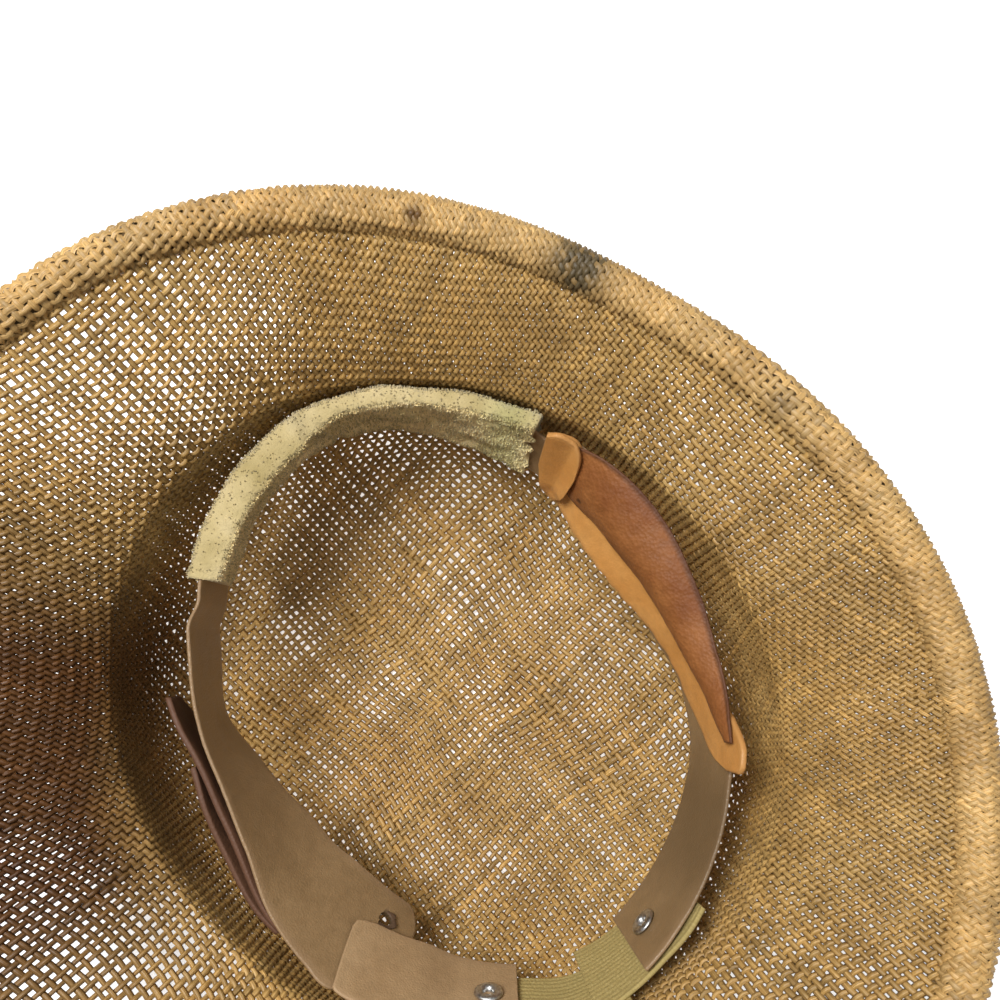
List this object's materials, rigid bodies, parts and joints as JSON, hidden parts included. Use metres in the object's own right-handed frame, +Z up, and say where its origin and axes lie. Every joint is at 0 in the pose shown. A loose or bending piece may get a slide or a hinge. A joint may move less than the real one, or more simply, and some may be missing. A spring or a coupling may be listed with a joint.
{
  "type": "pith helmet",
  "caption": "Woven straw pith helmet lying crown down, its brim edge rolled, with a hung leather headband, towelling sweat pad, temple leaves and an elastic back strap.",
  "frame": {"origin": "On the floor under the middle of the brim, at the height of the flat crown top on which the hat lies upside down.", "axes": "+Z up out of the open crown, -Y toward the front of the hat, +X toward its right-hand side in the picture's layout."},
  "size_m": [0.3014, 0.3368, 0.1519],
  "materials": {
    "straw_weave": "woven straw, satin",
    "straw_roll": "woven straw wrapped round a core, satin",
    "tan_leather": "worn, semi-matte",
    "orange_leather": "smooth, semi-matte",
    "rough_leather": "rubbed, matte",
    "towelling": "looped pile, matte",
    "elastic": "ribbed webbing, matte",
    "rivet_metal": "plated, slightly worn"
  },
  "bodies": {
    "root": {"woven_shell": "straw_weave", "rolled_rim": "straw_roll", "headband": "tan_leather", "sweat_pad": "towelling", "side_leaf_right": "orange_leather", "side_bolster_right": "rough_leather", "side_lobe_right": "orange_leather", "side_leaf_left": "orange_leather", "side_bolster_left": "rough_leather", "back_strap": "tan_leather", "elastic_left": "elastic", "elastic_right": "elastic", "rivet_back": "rivet_metal", "rivet_right": "rivet_metal"}
  },
  "joints": []
}
